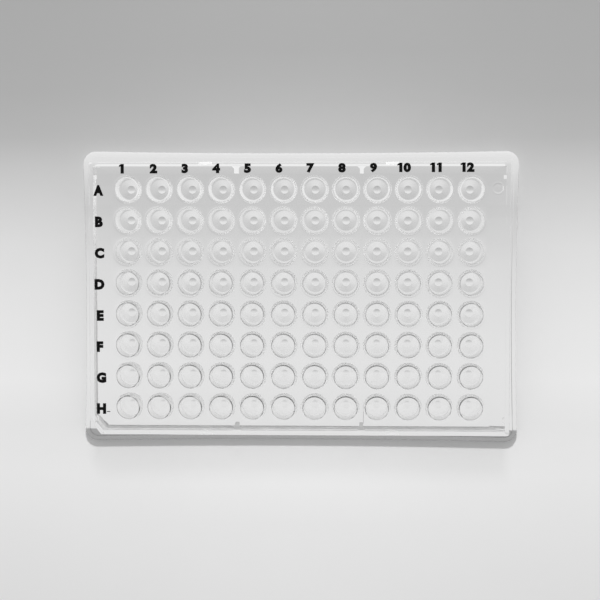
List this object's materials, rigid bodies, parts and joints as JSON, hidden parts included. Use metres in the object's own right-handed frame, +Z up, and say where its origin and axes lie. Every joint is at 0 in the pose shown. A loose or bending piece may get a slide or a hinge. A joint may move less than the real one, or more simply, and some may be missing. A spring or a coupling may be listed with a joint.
{
  "type": "well plate",
  "caption": "Clear rectangular laboratory plate with a grid of V-bottomed wells, a flanged base and one cut corner.",
  "frame": {"origin": "centre of the footprint, on the plane that the plate lies on", "axes": "+X from column 1 to column 12, +Y towards row A, +Z up out of the wells"},
  "size_m": [0.1278, 0.0854, 0.0144],
  "materials": {
    "clear_polystyrene": "polished, clear",
    "black_ink": "printed"
  },
  "bodies": {
    "root": {"well_plate": "clear_polystyrene"}
  },
  "joints": []
}
